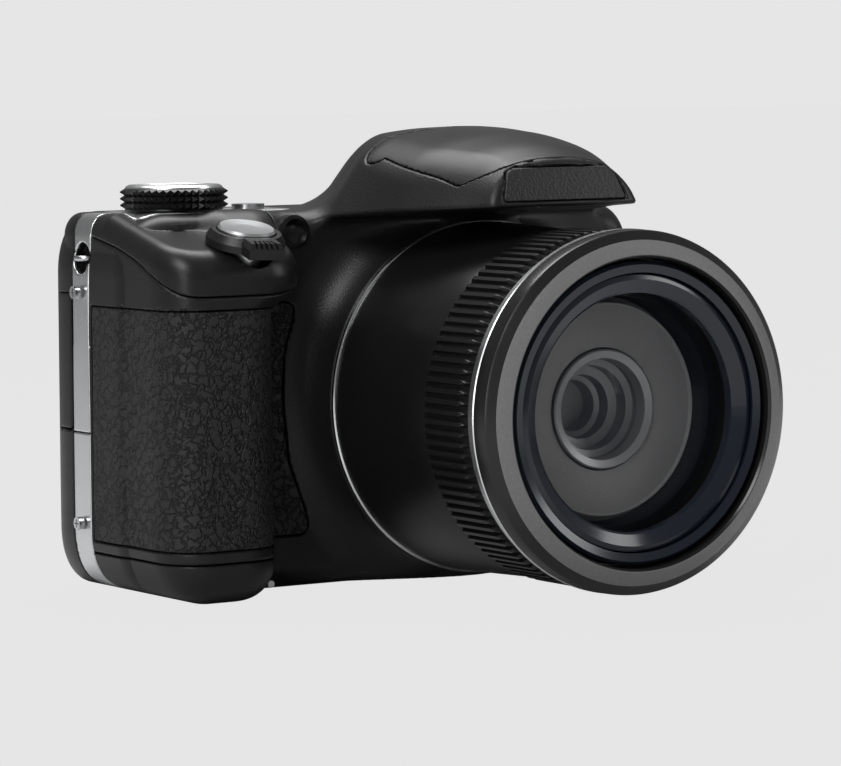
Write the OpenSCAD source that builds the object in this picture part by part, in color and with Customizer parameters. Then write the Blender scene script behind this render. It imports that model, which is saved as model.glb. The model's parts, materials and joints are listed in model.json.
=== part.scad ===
// Bridge camera with a fixed zoom lens, pop-up flash, grip, dial and rear screen.
// Frame: X to the right seen from the front (grip at -X), Y to the back (lens looks along -Y), Z up.
// Origin: tripod socket, on the bottom face under the lens axis.

/* [Body] */
// Distance from the lens axis to the grip end
grip_end = 75; // [72:0.5:80]
// Distance from the lens axis to the other end
far_end = 45; // [42:0.5:50]
// Distance from the tripod socket to the back of the body
back_y = 25; // [24:0.5:28]
// Distance from the tripod socket to the front plane beside the lens
front_y = 12; // [11:0.5:14]
// Height of the silver top plate
shoulder_z = 73; // [72:0.5:76]
// Height of the flash hump
hump_z = 89; // [88:0.5:92]
// Wall of the plastic covers
wall = 1.8; // [1.4:0.1:2.2]
// Gap between fixed covers
seam = 0.15; // [0.1:0.05:0.25]
// Gap beside moving pieces
play = 0.3; // [0.25:0.05:0.4]

/* [Grip] */
// Distance from the tripod socket to the front of the grip
grip_y = 28; // [27:0.5:31]
// Distance from the lens axis to the finger side of the grip
grip_in = 48; // [47:0.5:49]
// Thickness of the rubber skin
rubber_t = 1.0; // [0.8:0.1:1.2]
// Lower edge of the rubber skin
rubber_z0 = 10.5; // [10:0.25:12]
// Upper edge of the rubber skin
rubber_z1 = 55.5; // [54:0.25:56]
// Height of the battery door cap
door_h = 8; // [7.5:0.25:9]

/* [Silver band] */
// Front edge of the band
band_y0 = 5; // [4:0.25:6]
// Back edge of the band
band_y1 = 11.5; // [11:0.25:12.5]
// Thickness of the band
band_t = 1.2; // [1:0.1:1.5]
// Height of the joint between the two halves of the band
band_split = 31; // [29:0.5:34]

/* [Lens] */
// Height of the lens axis
lens_z = 36; // [35.5:0.25:37]
// Distance from the tripod socket to the front lip of the bezel
lens_y = 75; // [74:0.5:78]
// Outer radius of the lens bezel
bezel_r = 34; // [33.5:0.1:34.5]
// Number of ribs on the grip ring
ribs = 108; // [72:6:120]
// Wall of the lens tubes
tube_wall = 2.1; // [1.8:0.1:2.3]
// Radius of the inner glass
inner_glass_r = 9.4; // [9:0.1:9.8]

/* [Controls] */
// Radius of the mode dial
dial_r = 10.4; // [10:0.1:11]
// Height of the mode dial
dial_h = 4.8; // [4.5:0.1:5.2]
// Number of diamonds round the dial
dial_teeth = 44; // [36:4:52]
// Forward slope of the shutter deck
deck_tilt = 14.5; // [13:0.5:16]
// Radius of the shutter button
shutter_r = 5.5; // [5.2:0.1:5.7]
// Outer radius of the zoom lever
lever_r = 7.5; // [7.2:0.1:7.8]
// Travel room under a button
travel = 1.2; // [1:0.1:1.5]

/* [Sockets] */
// Radius of the tripod thread's bore
tripod_r = 2.9; // [2.7:0.05:3.1]
// Depth of the tripod socket
tripod_depth = 4.5; // [4.25:0.05:4.6]

/* [Hidden] */
$fn = 48;

body_edge = 6;
hull_fn = 28;
dial_x = -55.5;
dial_y = 2.7;
shutter_x = -54.5;
shutter_y = -22.5;
deck_z = 67.2;
lamp_x = -37.5;
lamp_z = 69;
lamp_r = 3.3;
skirt_y = -20;
rib_back = -51;
rib_front = -66;
skirt_r = bezel_r - 0.6;
bore_r = bezel_r - 3.4;
tube_r = bore_r - tube_wall - play;
front_tube_r = tube_r - tube_wall - play;
front_bore_r = front_tube_r - 2 * tube_wall;
glass_r = front_tube_r - 3.5;
lip_r = tube_r + 1;
inner_ring_r = inner_glass_r + 1.9;
hinge_y = -17.5;
hinge_z = 85.4;
knuckle_r = 3.5;
flash_pin_r = 0.9;
door_pin_x = -grip_in + 0.9;
door_pin_z = 2.2;
door_pin_r = 0.7;
door_back = band_y0 - seam;
lcd_x0 = -27;
lcd_x1 = 40;
lcd_z0 = 9;
lcd_z1 = 60;
board_y = 17.4;
key_r = 3.2;
lid_front = -46.6;
plate_front = [-51, -48];
plate_z = [74.2, 82];
plate_half = [16, 12];
deck_frame = [shutter_x, shutter_y, deck_z];

// Places of the round keys on the back, as [x, z]
MENU_AT = [-40, 20];
PLAY_AT = [-62, 20];
DISPLAY_AT = [-40, 48];
VIDEO_AT = [-48, 58];
PAD_AT = [-51, 34];

// One rounded corner column, turned: it draws in by e0 below and by e1 above
module column(x, y, r, z0, z1, e0, e1) {
    low = [for (a = [90 : -30 : 0]) [max(0.2, r - e0 * (1 - cos(a))), z0 + e0 * (1 - sin(a))]];
    top = [for (a = [0 : 30 : 90]) [max(0.2, r - e1 * (1 - cos(a))), z1 - e1 * (1 - sin(a))]];
    translate([x, y, 0])
        rotate_extrude($fn = hull_fn)
            polygon(concat([[0, z0]], low, top, [[0, z1]]));
}

// Main box of the body, drawn in by d
module main_form(d) {
    r = 11;
    hull()
        for (x = [-grip_end + r, far_end - r])
            for (y = [-front_y + 8, back_y - r])
                column(x, y, (y < 0 ? 8 : r) - d, d, shoulder_z - d, body_edge, 2.5);
}

// Grip with its sloping shutter deck, drawn in by d
module grip_form(d) {
    hull() {
        column(-grip_end + 11, -grip_y + 11, 11 - d, d, deck_z + 1.6 - d, 7, 5);
        column(-grip_in - 9, -grip_y + 9, 9 - d, d, deck_z + 1.2 - d, 7, 5);
        column(-grip_end + 11, band_y1, 11 - d, d, shoulder_z - d, 7, 3);
        column(-grip_in - 4, band_y1, 4 - d, d, shoulder_z - d, 4, 3);
    }
}

// Flash hump that overhangs the lens, drawn in by d
module hump_form(d) {
    hull()
        for (s = [-1, 1]) {
            translate([s * (plate_half[0] - 1.5), plate_front[0] + 1.5, plate_z[0] + 1.5])
                sphere(r = 1.5 - min(d, 1.3), $fn = 20);
            translate([s * (plate_half[1] - 2), plate_front[1] + 2, plate_z[1] - 1.8])
                sphere(r = 2 - min(d, 1.8), $fn = 20);
            translate([s * 4, -30, hump_z - 8.6])
                sphere(r = 8 - d, $fn = hull_fn);
            translate([s * 14.5, -14, hump_z - 7.2])
                sphere(r = 7 - d, $fn = hull_fn);
            translate([s * 9, -3, hump_z - 7.6])
                sphere(r = 6 - d, $fn = hull_fn);
            translate([s * 26.5, -14, shoulder_z - 2])
                cylinder(r1 = 5 - d, r2 = 4 - d, h = 3.5, $fn = hull_fn);
            translate([s * 18.5, 2, shoulder_z - 2])
                cylinder(r1 = 5 - d, r2 = 4 - d, h = 3.5, $fn = hull_fn);
            translate([s * 11, 14, shoulder_z - 2])
                cylinder(r1 = 5 - d, r2 = 4 - d, h = 3, $fn = hull_fn);
        }
}

// Flare of the front cover round the root of the lens
module lens_flare(d) {
    intersection() {
        translate([0, 0, lens_z])
            rotate([90, 0, 0])
                rotate_extrude($fn = 72)
                    polygon([[0, -4], [44 - d, -4], [43.5 - d, front_y - d], [40 - d, 14 - d],
                        [36.6 - d, 17.5 - d], [35.2 - d, -skirt_y - d], [0, -skirt_y - d]]);
        translate([-60, -30, d])
            cube([120, 60, shoulder_z - 2 * d]);
    }
}

module outer_form(d) {
    main_form(d);
    grip_form(d);
    hump_form(d);
    lens_flare(d);
}

// Side profile of the flash lid: rear knuckle, dropping side seam, front edge at the name plate
module lid_profile(g) {
    difference() {
        union() {
            polygon([[hinge_y, hinge_z - 1.6 + g], [hinge_y - 8, 81.6 + g], [-36, 79.4 + g], [-41, 77.9 + g],
                [-43.5, 78.6 + g], [-45.6, 80.4 + g], [lid_front + g, 81.6 + g], [lid_front + g, 100], [hinge_y, 100]]);
            translate([hinge_y, hinge_z])
                circle(r = knuckle_r - g);
        }
        translate([hinge_y - 0.01, hinge_z + knuckle_r + 3])
            square([10, 30]);
    }
}

module lid_prism(g) {
    rotate([90, 0, 90])
        translate([0, 0, -40])
            linear_extrude(80)
                lid_profile(g);
}

// Side profile of the shutter deck's moulding, above its curved seam on the grip
module deck_profile(g) {
    polygon([[-40, 58.2 + g], [-24, 58.2 + g], [-19, 59.4 + g], [-14, 62.6 + g], [-8, 66.4 + g], [-2, 69.2 + g],
        [band_y0 - g, 71.4 + g], [band_y0 - g, 100], [-40, 100]]);
}

module deck_prism(g) {
    rotate([90, 0, 90])
        translate([0, 0, -grip_end - 5])
            linear_extrude(grip_end + 5 - grip_in + 3 - g)
                deck_profile(g);
}

// Everything in the shutter deck's tilted frame
module on_deck() {
    translate(deck_frame)
        rotate([deck_tilt, 0, 0])
            children();
}

// Turns a profile of [radius, distance behind the lip] round the lens axis
module lens_turn(points) {
    translate([0, -lens_y, lens_z])
        rotate([-90, 0, 0])
            rotate_extrude($fn = 96)
                polygon(points);
}

module lens_rod(r, y0, y1) {
    translate([0, y0, lens_z])
        rotate([-90, 0, 0])
            cylinder(r = r, h = y1 - y0, $fn = 96);
}

module block(x0, x1, y0, y1, z0, z1) {
    translate([x0, y0, z0])
        cube([x1 - x0, y1 - y0, z1 - z0]);
}

// Strip round the grip end of the body, in the band's width
module band_strip(t0, t1, y0, y1) {
    intersection() {
        difference() {
            outer_form(t0);
            outer_form(t1);
        }
        block(-grip_end - 2, -grip_end + 10, y0, y1, -1, shoulder_z - 4);
    }
}

module strap_pocket(g) {
    translate([-grip_end - 1, (band_y0 + band_y1) / 2, 64.5])
        rotate([0, 90, 0])
            cylinder(r = 3 - g, h = 5.5);
}

module front_cover() {
    color("#1c1c1d")
        difference() {
            intersection() {
                outer_form(0);
                block(-100, 100, -60, band_y1 - seam, -1, 100);
            }
            intersection() {
                union() {
                    main_form(wall);
                    grip_form(wall + rubber_t);
                    lens_flare(wall);
                }
                block(-100, 100, -60, 30, wall, shoulder_z - wall);
            }
            intersection() {
                hump_form(1.6);
                block(-100, 100, -60, 30, plate_z[0] + 1.2, 100);
            }
            lens_rod(bore_r + seam, -60, 20);
            lens_rod(skirt_r + 0.9, -60, skirt_y + 0.01);
            block(-grip_end - 1, -grip_in + 2.4, -40, door_back, -1, door_h + seam);
            deck_prism(-seam);
            lid_prism(-play);
            translate([0, 0, plate_z[0] + 0.8])
                block(-plate_half[0] + 1, plate_half[0] - 1, -60, plate_front[0] + 2.9, 0, 6.2);
            rubber_zone(0);
            band_cut();
            plate_cut();
            on_lamp(lamp_r + seam, 8);
            control_holes();
            translate([0, 0, -1])
                cylinder(r = 5.5 + seam, h = 12);
            screw_holes();
        }
}

// Room for the rubber skin, g wider all round
module rubber_zone(g) {
    difference() {
        intersection() {
            difference() {
                grip_form(-1);
                grip_form(rubber_t);
            }
            block(-grip_end - 1, -grip_in + 1, -40, band_y0 - 1, rubber_z0 - g, rubber_z1 + g);
        }
        main_form(0);
    }
}

module band_cut() {
    intersection() {
        difference() {
            outer_form(-1);
            outer_form(band_t + seam);
        }
        block(-grip_end - 2, -grip_end + 10 + seam, band_y0 - seam, band_y1, -1, shoulder_z - 4);
    }
    strap_pocket(0);
}

module plate_cut() {
    block(-grip_end + 6 - seam, -33 + seam, -6 - seam, band_y1 + 0.01, shoulder_z - 1.2, 100);
}

// Shaft hole of the mode dial and well of the power button
module control_holes() {
    translate([dial_x, dial_y, 60])
        cylinder(r = 3.2, h = 40);
    translate([-39.5, 2, 60])
        cylinder(r = key_r + play, h = 40);
}

module on_lamp(r, depth) {
    translate([lamp_x, -front_y + depth, lamp_z])
        rotate([90, 0, 0])
            cylinder(r = r, h = depth + 6);
}

module screw_holes() {
    for (p = [[-30, -4], [32, -4], [-30, 5], [32, 5]])
        translate([p[0], p[1], -0.01])
            cylinder(r = 1.7, h = 1.2);
}

module rear_cover() {
    color("#1d1d1e")
        difference() {
            intersection() {
                union() {
                    main_form(0);
                    grip_form(0);
                    hump_form(0);
                }
                block(-100, 100, band_y1, 40, -1, 100);
            }
            intersection() {
                union() {
                    main_form(wall);
                    grip_form(wall);
                }
                block(-100, 100, 0, 40, wall, shoulder_z - wall);
            }
            intersection() {
                hump_form(1.6);
                block(-100, 100, 0, 40, plate_z[0] + 1.2, 100);
            }
            block(lcd_x0 - 1, lcd_x1 + 1, 0, 40, lcd_z0 - 1, lcd_z1 + 1);
            port_zone(play);
            for (p = [MENU_AT, PLAY_AT, DISPLAY_AT, VIDEO_AT])
                key_hole(p, key_r + play);
            key_hole(PAD_AT, 9 + play);
            block(-70, -34, back_y - 0.9, 40, 50, 69);
        }
}

module key_hole(p, r) {
    translate([p[0], 10, p[1]])
        rotate([-90, 0, 0])
            cylinder(r = r, h = 30);
}

// Space of the side door over the sockets, on the grip end of the back cover
module port_zone(g) {
    block(-grip_end - 2, -grip_end + 1.4 + g, band_y1 + 0.5 - g, band_y1 + 7 + g, band_split + 0.5 - g, 57.5 + g);
}

module port_cover() {
    color("#232324")
        intersection() {
            union() {
                main_form(-0.6);
                grip_form(-0.6);
            }
            port_zone(0);
        }
}

module top_cover() {
    color("#202021")
        difference() {
            intersection() {
                grip_form(0);
                deck_prism(0);
            }
            intersection() {
                grip_form(wall);
                block(-100, 0, -40, 30, 50, 100);
            }
            plate_cut();
            band_cut();
            on_deck()
                cylinder(r = lever_r + 1, h = 20);
            on_deck()
                translate([0, 0, -12])
                    cylinder(r = 3.6, h = 20);
            main_cut();
            control_holes();
            translate([-62, -8.5, 60])
                cylinder(r = 3.4, h = 30);
        }
}

// Keeps the deck moulding off the main box beside the hump
module main_cut() {
    block(-grip_in - 1.2, 0, -front_y - seam, 30, 40, 100);
}

module top_plate() {
    color("#c9cbcd")
        difference() {
            block(-grip_end + 6, -33, -6, band_y1 - seam, shoulder_z - 1.2 + seam, shoulder_z + 0.2);
            translate([dial_x, dial_y, 0])
                cylinder(r = 3.2, h = 100);
            translate([-39.5, 2, 0])
                cylinder(r = key_r + play, h = 100);
            hump_form(-seam);
            on_deck()
                cylinder(r = lever_r + 1.2, h = 20);
        }
}

module side_band_upper() {
    color("#d2d4d6")
        difference() {
            intersection() {
                band_strip(0, band_t, band_y0, band_y1 - seam);
                block(-100, 0, 0, 20, band_split + seam, 100);
            }
            strap_pocket(0);
            band_holes();
        }
}

module side_band_lower() {
    color("#d2d4d6")
        difference() {
            intersection() {
                band_strip(0, band_t, band_y0, band_y1 - seam);
                block(-100, 0, 0, 20, -1, band_split - seam);
            }
            band_holes();
        }
}

BAND_SCREW_Z = [13.5, 58];

module band_holes() {
    for (z = BAND_SCREW_Z)
        translate([-grip_end - 2, (band_y0 + band_y1) / 2, z])
            rotate([0, 90, 0])
                cylinder(r = 1.35, h = 6);
}

module band_screws() {
    color("#b9bbbd")
        for (z = BAND_SCREW_Z)
            translate([-grip_end + 0.05, (band_y0 + band_y1) / 2, z])
                rotate([0, 90, 0])
                    difference() {
                        cylinder(r = 1.25, h = 1.1);
                        for (a = [0, 90])
                            rotate([0, 0, a])
                                translate([-0.8, -0.15, -0.1])
                                    cube([1.6, 0.3, 0.5]);
                    }
}

module strap_lugs() {
    color("#c4c6c8")
        for (s = [-1, 1])
            translate([s < 0 ? -grip_end + 3.2 : far_end - 0.2, s < 0 ? (band_y0 + band_y1) / 2 : 6, 64.5])
                rotate([0, s * 90, 0])
                    rotate([0, 0, 90])
                        rotate([90, 0, 0])
                            rotate_extrude(angle = 180, $fn = 36)
                                translate([1.9, 0])
                                    circle(r = 0.55, $fn = 16);
}

module grip_rubber() {
    color("#262627")
        difference() {
            intersection() {
                difference() {
                    grip_form(0);
                    grip_form(rubber_t - 0.05);
                }
                block(-grip_end - 1, -grip_in + 1, -40, band_y0 - 1.2, rubber_z0 + 0.2, rubber_z1 - 0.2);
            }
            main_form(-0.2);
            lens_rod(44.2, -30, 0);
        }
}

module name_plate() {
    color("#2b2c2d")
        difference() {
            intersection() {
                hump_form(0);
                block(-plate_half[0] + 1.2, plate_half[0] - 1.2, -60, plate_front[0] + 2.7, plate_z[0] + 1, plate_z[0] + 6.8);
            }
            lid_prism(-play - 0.1);
        }
}

module lens_skirt() {
    color("#151516")
        lens_turn([[bore_r + 0.1, lens_y + rib_back], [skirt_r - 0.3, lens_y + rib_back], [skirt_r + 0.8, lens_y + skirt_y - 1.2], [bore_r + 0.1, lens_y + skirt_y - 1.2]]);
}

module skirt_ring() {
    color("#d0d2d4")
        lens_turn([[bore_r + 0.1, lens_y + skirt_y - 1.1], [skirt_r + 1, lens_y + skirt_y - 1.1],
            [skirt_r + 1, lens_y + skirt_y - 0.1], [bore_r + 0.1, lens_y + skirt_y - 0.1]]);
}

// Ring outline with square ribs, as points round the lens axis
function rib_points(r0, r1) = [for (i = [0 : ribs - 1]) for (k = [[0, r0], [0.12, r1], [0.5, r1], [0.62, r0]])
    let (a = (i + k[0]) * 360 / ribs) [k[1] * cos(a), k[1] * sin(a)]];

module rib_ring() {
    color("#161617")
        translate([0, rib_back, lens_z])
            rotate([90, 0, 0])
                difference() {
                    linear_extrude(rib_back - rib_front)
                        polygon(rib_points(bezel_r - 1.3, bezel_r - 0.3));
                    translate([0, 0, -1])
                        cylinder(r = bore_r + 0.1, h = 40, $fn = 96);
                }
}

module silver_ring() {
    color("#dcdee0")
        lens_turn([[bore_r + 0.1, 5.9], [bezel_r, 5.9], [bezel_r + 0.1, 6.4], [bezel_r, 6.9],
            [bezel_r - 0.8, 6.9], [bezel_r - 0.8, 8.9], [bore_r + 0.1, 8.9]]);
}

module front_bezel() {
    color("#1f2021")
        lens_turn([[lip_r - 0.4, 0.4], [lip_r, 0], [lip_r + 0.4, 0], [bezel_r - 1.8, 1.0], [bezel_r - 0.4, 2.0], [bezel_r, 3.2],
            [bezel_r, 5.8], [lip_r - 0.4, 5.8]]);
}

// Fixed inner tube that carries the zoom tubes, with the sensor's seat at its back
module lens_housing() {
    color("#2a2a2b")
        lens_turn([[tube_r + play, 6], [bore_r, 6], [bore_r, 84], [12, 84], [12, 82], [tube_r + play, 82]]);
}

module outer_zoom_tube() {
    color("#111112")
        lens_turn([[front_tube_r + play, 1.6], [tube_r - 0.6, 1.2], [tube_r, 1.8], [tube_r, 46],
            [front_tube_r + play, 46]]);
}

module front_zoom_tube() {
    color("#0e0e0f")
        lens_turn([[glass_r + 1.4, 5.2], [front_tube_r, 5.2], [front_tube_r, 44], [front_bore_r, 44], [front_bore_r, 9.5],
            [glass_r + 1.4, 9.5]]);
}

module front_lens_ring() {
    color("#1d2430")
        lens_turn([[glass_r, 3.2], [glass_r + 0.4, 2.9], [front_tube_r - 1, 1.8], [front_tube_r, 2.2],
            [front_tube_r, 5.1], [glass_r, 5.1]]);
}

module front_glass() {
    color([0.35, 0.42, 0.5, 0.4])
        lens_turn([[0, 5.2], [9, 5.35], [16, 5.9], [glass_r + 1.3, 6.9], [glass_r + 1.3, 9.4], [0, 9.4]]);
}

module inner_barrel() {
    color("#3a3b3c")
        lens_turn([[inner_ring_r + 0.1, 13.6], [front_bore_r - 1.4, 13.2], [front_bore_r - 1.4, 14.4], [front_bore_r - 0.4, 15.2],
            [front_bore_r - 0.4, 40], [front_bore_r - 2.6, 40], [front_bore_r - 2.6, 16], [inner_ring_r + 0.1, 16]]);
}

module inner_lens_ring() {
    color("#55575a")
        lens_turn([[inner_glass_r + 0.1, 13.4], [inner_ring_r, 13], [inner_ring_r, 30], [inner_glass_r + 0.1, 30]]);
}

module inner_glass() {
    color([0.2, 0.24, 0.3, 0.5])
        lens_turn([[0, 16], [5, 16.4], [inner_glass_r, 18], [inner_glass_r, 22], [0, 22]]);
}

module image_sensor() {
    color("#2f5d46")
        union() {
            block(-16, 16, 9.2, 10.4, lens_z - 14, lens_z + 14);
            block(-6, 6, 8, 9.2, lens_z - 5, lens_z + 5);
        }
}

module main_board() {
    color("#2c6b4a")
        difference() {
            block(-44, 40, board_y, board_y + 1.2, 6, 66);
            for (x = [-40, 36])
                for (z = [10, 62])
                    translate([x, 0, z])
                        rotate([-90, 0, 0])
                            cylinder(r = 1.2, h = 40);
        }
}

module zoom_motor() {
    color("#8d8f91")
        translate([33, -8, 12])
            rotate([-90, 0, 0])
                union() {
                    cylinder(r = 4.5, h = 14);
                    cylinder(r = 1, h = 19);
                }
}

module battery() {
    color("#3b3f45")
        union() {
            block(-69.9, -56.4, -17, 8, door_h + 1, door_h + 42);
            for (y = [-14, -9, -4])
                block(-66, -62, y, y + 2.5, door_h + 42, door_h + 42.4);
        }
}

module memory_card() {
    color("#24303f")
        translate([-72.1, -15.5, door_h + 2])
            rotate([90, 0, 90])
                linear_extrude(2.1)
                    polygon([[0, 0], [24, 0], [24, 28], [20, 32], [0, 32]]);
}

module battery_door() {
    color("#1b1b1c")
        union() {
            difference() {
                intersection() {
                    grip_form(0);
                    block(-grip_end - 1, -grip_in - 1.2, -40, door_back - play, -1, door_h - play);
                }
                intersection() {
                    grip_form(2);
                    block(-grip_end - 1, -grip_in - 3, -40, door_back - 2, 1.8, 100);
                }
                door_slots();
            }
            for (y = [-16, -3])
                translate([door_pin_x, y, door_pin_z])
                    rotate([-90, 0, 0])
                        difference() {
                            union() {
                                cylinder(r = 1.5, h = 5);
                                translate([-3.4, -0.7, 0])
                                    cube([3.4, 1.4, 5]);
                            }
                            translate([0, 0, -1])
                                cylinder(r = door_pin_r + 0.06, h = 10);
                        }
        }
}

module door_slots() {
    translate([-grip_end - 1, -11, -1])
        cube([1.6, 8, 4]);
}

module door_pin() {
    color("#a9abad")
        translate([door_pin_x, -18, door_pin_z])
            rotate([-90, 0, 0])
                cylinder(r = door_pin_r, h = 22);
}

module tripod_bush() {
    color("#9fa1a3")
        difference() {
            translate([0, 0, 0])
                cylinder(r = 5.5, h = tripod_depth + 0.7);
            translate([0, 0, -1])
                cylinder(r = tripod_r, h = tripod_depth + 1);
        }
}

module bottom_screws() {
    color("#77797b")
        for (p = [[-30, -4], [32, -4], [-30, 5], [32, 5]])
            translate([p[0], p[1], 0.15])
                difference() {
                    cylinder(r = 1.5, h = 1);
                    for (a = [0, 90])
                        rotate([0, 0, a])
                            translate([-0.9, -0.17, -0.1])
                                cube([1.8, 0.34, 0.5]);
                }
}

module af_lamp_ring() {
    color("#161617")
        translate([lamp_x, -front_y - 0.8, lamp_z])
            rotate([-90, 0, 0])
                rotate_extrude()
                    polygon([[1.9, 1.2], [2.6, 0], [lamp_r, 0.4], [lamp_r, 5], [1.9, 5]]);
}

module af_lamp_lens() {
    color([0.5, 0.42, 0.35, 0.6])
        translate([lamp_x, -front_y - 0.8, lamp_z])
            rotate([-90, 0, 0])
                rotate_extrude()
                    polygon([[0, 0.9], [1.2, 1.2], [1.8, 1.8], [1.8, 5], [0, 5]]);
}

// Toothed disc outline for the dial's diamonds
function dial_points(r0, r1) = [for (i = [0 : dial_teeth - 1]) for (k = [[0, r0], [0.5, r1]])
    let (a = (i + k[0]) * 360 / dial_teeth) [k[1] * cos(a), k[1] * sin(a)]];

module mode_dial() {
    z0 = shoulder_z + 0.5;
    row = (dial_h - 1) / 3;
    color("#141415")
        translate([dial_x, dial_y, z0])
            union() {
                intersection() {
                    linear_extrude(dial_h - 0.6)
                        polygon(dial_points(dial_r - 0.7, dial_r));
                    rotate_extrude()
                        polygon([[0, 0], [dial_r - 0.95, 0], for (i = [0 : 2]) each [[dial_r - 0.85, 0.3 + i * row],
                            [dial_r + 0.13, 0.3 + (i + 0.5) * row]], [dial_r - 0.85, 0.3 + 3 * row],
                            [dial_r - 0.95, dial_h - 0.6], [0, dial_h - 0.6]]);
                }
                translate([0, 0, -6])
                    cylinder(r = 2.9, h = 6.2);
            }
}

module dial_cap() {
    color("#d8dadc")
        translate([dial_x, dial_y, shoulder_z + 0.5 + dial_h - 0.6])
            rotate_extrude()
                polygon([[0, 0], [dial_r - 1, 0], [dial_r - 1.1, 0.3], [dial_r - 1.6, 0.6], [dial_r - 1.9, 0.45], [0, 0.45]]);
}

module zoom_lever() {
    color("#1a1a1b")
        on_deck()
            difference() {
                union() {
                    rotate_extrude()
                        polygon([[0, 0.25], [lever_r, 0.25], [lever_r, 1.6], [lever_r - 0.9, 3], [0, 3]]);
                    rotate([0, 0, -96])
                        translate([lever_r - 2, -3.6, 0.3])
                            hull() {
                                cube([4.9, 7.2, 1.8]);
                                translate([0, 0.6, 0])
                                    cube([3.9, 6, 2.9]);
                            }
                }
                translate([0, 0, -1])
                    cylinder(r = shutter_r + 0.25, h = 10);
                for (i = [-2 : 2])
                    rotate([0, 0, -96 + i * 6])
                        translate([lever_r + 0.2, -0.25, 2.2])
                            cube([6, 0.4, 3]);
            }
}

module shutter_button() {
    color("#cfd1d3")
        on_deck()
            union() {
                rotate_extrude()
                    polygon([[0, 1.5], [shutter_r, 1.5], [shutter_r, 3.4], [shutter_r - 0.4, 3.8], [2.5, 3.55], [0, 3.5]]);
                translate([0, 0, -5])
                    cylinder(r = 3.4, h = 6.6);
            }
}

module drive_button() {
    color("#2a2a2b")
        translate([-62, -8.5, 64])
            cylinder(r = 3.1, h = 7.2);
}

module power_button() {
    color("#c6c8ca")
        translate([-39.5, 2, shoulder_z - 3])
            cylinder(r = key_r, h = 4.2);
}

module flash_lid() {
    color("#202021")
        difference() {
            union() {
                difference() {
                    intersection() {
                        hump_form(0);
                        lid_prism(0);
                    }
                    intersection() {
                        hump_form(1.6);
                        block(-40, 40, lid_front + 2, hinge_y - knuckle_r, 60, 100);
                    }
                }
                intersection() {
                    hump_form(0.8);
                    block(-11.5, 11.5, -44, -34, 78.2, 90);
                }
            }
            block(-10, 10, -45, -41, 78.9, 82.1);
            translate([-40, hinge_y, hinge_z])
                rotate([0, 90, 0])
                    cylinder(r = flash_pin_r + 0.06, h = 80);
        }
}

module flash_window() {
    color([0.85, 0.88, 0.9, 0.6])
        block(-9.9, 9.9, -44.2, -41.1, 79, 82);
}

module flash_pin() {
    color("#a9abad")
        translate([-15.5, hinge_y, hinge_z])
            rotate([0, 90, 0])
                cylinder(r = flash_pin_r, h = 31);
}

module flash_capacitor() {
    color("#2b3350")
        translate([36.5, 2, 30])
            cylinder(r = 4, h = 30);
}

module lcd_panel() {
    color("#3d434b")
        block(lcd_x0 + 1, lcd_x1 - 1, board_y + 1.2, 22.6, lcd_z0 + 1, lcd_z1 - 1);
}

module lcd_window() {
    color([0.05, 0.05, 0.06, 0.9])
        block(lcd_x0 - 0.8, lcd_x1 + 0.8, 22.6, back_y + 0.6, lcd_z0 - 0.8, lcd_z1 + 0.8);
}

module thumb_rest() {
    color("#252526")
        intersection() {
            block(-69.8, -34.2, back_y - 0.8, back_y + 3, 62, 68.8);
            rotate([90, 0, 90])
                translate([0, 0, -80])
                    linear_extrude(60)
                        polygon([[back_y - 0.8, 62], [back_y + 1, 62], [back_y + 2.6, 65], [back_y + 1, 68.8], [back_y - 0.8, 68.8]]);
        }
}

module round_key(p, r) {
    translate([p[0], back_y - 4, p[1]])
        rotate([-90, 0, 0])
            rotate_extrude()
                polygon([[0, 0], [r, 0], [r, 4.4], [r - 0.4, 4.8], [0, 4.8]]);
}

module control_pad() {
    color("#2a2a2b")
        difference() {
            round_key(PAD_AT, 9);
            key_hole(PAD_AT, key_r + 0.25);
        }
}

module set_button() {
    color("#333334")
        round_key(PAD_AT, key_r);
}

module menu_button() {
    color("#2a2a2b")
        round_key(MENU_AT, key_r);
}

module play_button() {
    color("#2a2a2b")
        round_key(PLAY_AT, key_r);
}

module display_button() {
    color("#2a2a2b")
        round_key(DISPLAY_AT, key_r);
}

module video_button() {
    color("#5a1f1c")
        round_key(VIDEO_AT, key_r);
}

front_cover();
rear_cover();
top_cover();
top_plate();
side_band_upper();
side_band_lower();
band_screws();
strap_lugs();
grip_rubber();
name_plate();
lens_skirt();
skirt_ring();
rib_ring();
silver_ring();
front_bezel();
lens_housing();
outer_zoom_tube();
front_zoom_tube();
front_lens_ring();
front_glass();
inner_barrel();
inner_lens_ring();
inner_glass();
image_sensor();
main_board();
zoom_motor();
battery();
memory_card();
battery_door();
door_pin();
port_cover();
tripod_bush();
bottom_screws();
af_lamp_ring();
af_lamp_lens();
mode_dial();
dial_cap();
zoom_lever();
shutter_button();
drive_button();
power_button();
flash_lid();
flash_window();
flash_pin();
flash_capacitor();
lcd_panel();
lcd_window();
thumb_rest();
control_pad();
set_button();
menu_button();
play_button();
display_button();
video_button();
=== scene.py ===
import json
import math
import bpy
import numpy as np
from mathutils import Matrix, Vector


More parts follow.
